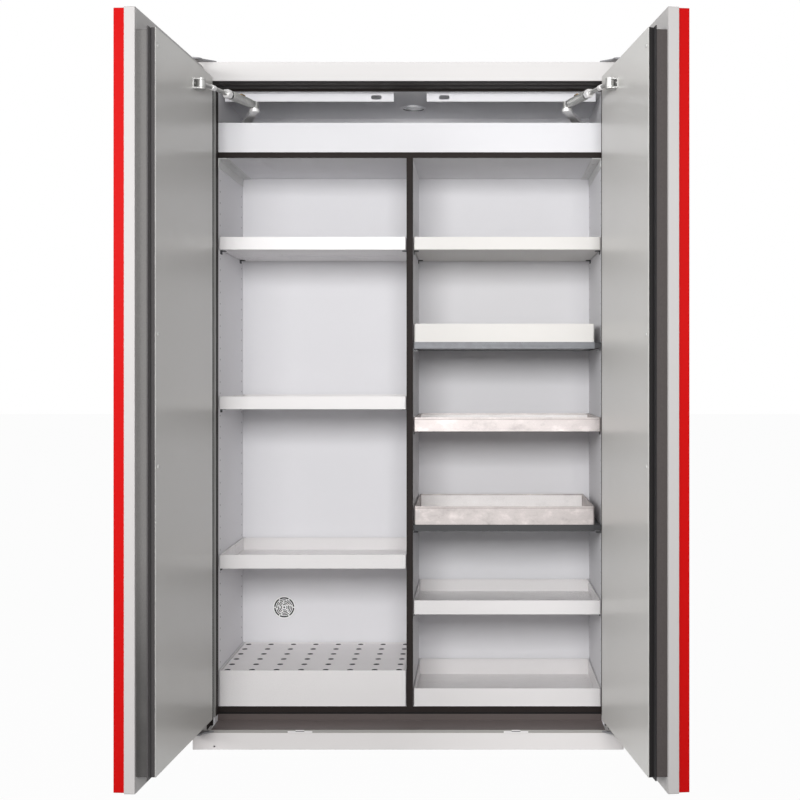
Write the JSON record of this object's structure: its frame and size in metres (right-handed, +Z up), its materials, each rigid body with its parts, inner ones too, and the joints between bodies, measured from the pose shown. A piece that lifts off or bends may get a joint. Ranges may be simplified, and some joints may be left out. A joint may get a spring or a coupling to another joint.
{
  "type": "flammable storage cabinet",
  "caption": "Tall fire-resistant safety cabinet with two thick wing doors on closer linkages, a centre partition, tray shelves, sumps and pull-out drawers, standing open.",
  "frame": {"origin": "middle of the body's footprint on the floor, open doors left out of the count", "axes": "+X to the cabinet's right as seen from the front, +Y from the front into the cabinet, +Z up"},
  "size_m": [1.3225, 1.1774, 1.953],
  "materials": {
    "skin_red": "semi-gloss enamel",
    "casing_grey": "fine-textured powder coat",
    "panel_grey": "satin coated sheet",
    "lining_white": "fine-grained melamine face",
    "shelf_white": "powder coat",
    "shelf_cream": "powder coat",
    "stainless": "pickled, lightly mottled",
    "galvanised": "zinc coated",
    "seal_dark": "expanding seal and edge laminate",
    "fire_board": "mineral board; wood stands in for it",
    "ceiling_grey": "matt",
    "zinc": "zinc plated",
    "steel_dark": "black passivated",
    "plastic_grey": "moulded",
    "plastic_black": "moulded",
    "brass": "turned"
  },
  "bodies": {
    "cabinet": {"base_pan": "casing_grey", "casing_back": "casing_grey", "casing_sides": "casing_grey", "casing_top": "casing_grey", "ceiling_lining": "ceiling_grey", "closer_housings": "zinc", "closer_rails": "shelf_white", "corner_rails": "casing_grey", "drawer_runners": "galvanised", "exhaust_collar": "zinc", "fascia": "shelf_white", "hinge_brackets": "steel_dark", "insulation_boards": "fire_board", "interior_boards": "lining_white", "levelling_feet": "zinc", "lining_panels": "lining_white", "opening_seals": "seal_dark", "perforated_insert": "shelf_white", "plinth": "casing_grey", "shelf_clips": "steel_dark", "shelf_left_middle": "shelf_white", "shelf_left_upper": "shelf_white", "shelf_right_upper": "shelf_cream", "sump_left": "shelf_white", "sump_right": "shelf_white", "tray_right_steel": "stainless", "tray_shelf_left": "shelf_white", "tray_shelf_right": "shelf_white", "vent_grille": "shelf_white"},
    "door_left": {"door_left_closer_bracket": "zinc", "door_left_core": "fire_board", "door_left_fin": "seal_dark", "door_left_frame": "casing_grey", "door_left_hinge_bushes": "brass", "door_left_inner_panel": "panel_grey", "door_left_plugs": "plastic_grey", "door_left_skin": "skin_red", "door_left_step_boards": "seal_dark"},
    "door_right": {"door_right_closer_bracket": "zinc", "door_right_core": "fire_board", "door_right_fin": "seal_dark", "door_right_frame": "casing_grey", "door_right_hinge_bushes": "brass", "door_right_inner_panel": "panel_grey", "door_right_plugs": "plastic_grey", "door_right_skin": "skin_red", "door_right_step_boards": "seal_dark", "handle_cup": "plastic_black", "lock_cylinder": "zinc"},
    "arm_left": {"closer_arm_left": "zinc"},
    "forearm_left": {"closer_forearm_left": "zinc"},
    "arm_right": {"closer_arm_right": "zinc"},
    "forearm_right": {"closer_forearm_right": "zinc"},
    "drawer_upper": {"drawer_upper_carrier": "galvanised", "drawer_upper_tray": "shelf_cream"},
    "runners_upper": {"drawer_upper_slides": "galvanised"},
    "drawer_lower": {"drawer_lower_carrier": "galvanised", "drawer_lower_tray": "stainless"},
    "runners_lower": {"drawer_lower_slides": "galvanised"},
    "lever": {"handle_lever": "plastic_black"}
  },
  "joints": [
    {"name": "door_left_hinge", "type": "hinge", "parent": "cabinet", "child": "door_left", "pos_m": [-0.5855, -0.3105, 0], "axis": [0, 0, -1], "range_deg": [-93.3, 0]},
    {"name": "door_right_hinge", "type": "hinge", "parent": "cabinet", "child": "door_right", "pos_m": [0.5855, -0.3105, 0], "axis": [0, 0, 1], "range_deg": [-96.5, 0]},
    {"name": "closer_spindle_left", "type": "hinge", "parent": "cabinet", "child": "arm_left", "pos_m": [-0.49459, -0.03722, 1.773], "axis": [0, 0, -1], "range_deg": [-93.3, 0]},
    {"name": "closer_elbow_left", "type": "hinge", "parent": "arm_left", "child": "forearm_left", "pos_m": [-0.42816, -0.25741, 1.773], "axis": [0, 0, -1], "range_deg": [0, 93.3]},
    {"name": "closer_spindle_right", "type": "hinge", "parent": "cabinet", "child": "arm_right", "pos_m": [0.49459, -0.03722, 1.773], "axis": [0, 0, 1], "range_deg": [-96.5, 0]},
    {"name": "closer_elbow_right", "type": "hinge", "parent": "arm_right", "child": "forearm_right", "pos_m": [0.44055, -0.26078, 1.773], "axis": [0, 0, 1], "range_deg": [0, 96.5]},
    {"name": "drawer_upper_slide", "type": "slide", "parent": "cabinet", "child": "drawer_upper", "axis": [0, -1, 0], "range_m": [0, 0.34]},
    {"name": "runners_upper_slide", "type": "slide", "parent": "cabinet", "child": "runners_upper", "axis": [0, -1, 0], "range_m": [0, 0.17]},
    {"name": "drawer_lower_slide", "type": "slide", "parent": "cabinet", "child": "drawer_lower", "axis": [0, -1, 0], "range_m": [0, 0.34]},
    {"name": "runners_lower_slide", "type": "slide", "parent": "cabinet", "child": "runners_lower", "axis": [0, -1, 0], "range_m": [0, 0.17]},
    {"name": "handle_lever_hinge", "type": "hinge", "parent": "door_right", "child": "lever", "pos_m": [0.66121, -0.82926, 1.125], "axis": [0.1132, -0.9936, 0], "range_deg": [0, 30], "stiffness_Nm_per_rad": 0.3}
  ],
  "couplings": [
    {"joint": "closer_spindle_left", "follows": "door_left_hinge", "ratio": 1},
    {"joint": "closer_spindle_right", "follows": "door_right_hinge", "ratio": 1},
    {"joint": "closer_elbow_left", "follows": "door_left_hinge", "ratio": -1},
    {"joint": "closer_elbow_right", "follows": "door_right_hinge", "ratio": -1},
    {"joint": "runners_upper_slide", "follows": "drawer_upper_slide", "ratio": 0.5},
    {"joint": "runners_lower_slide", "follows": "drawer_lower_slide", "ratio": 0.5}
  ]
}
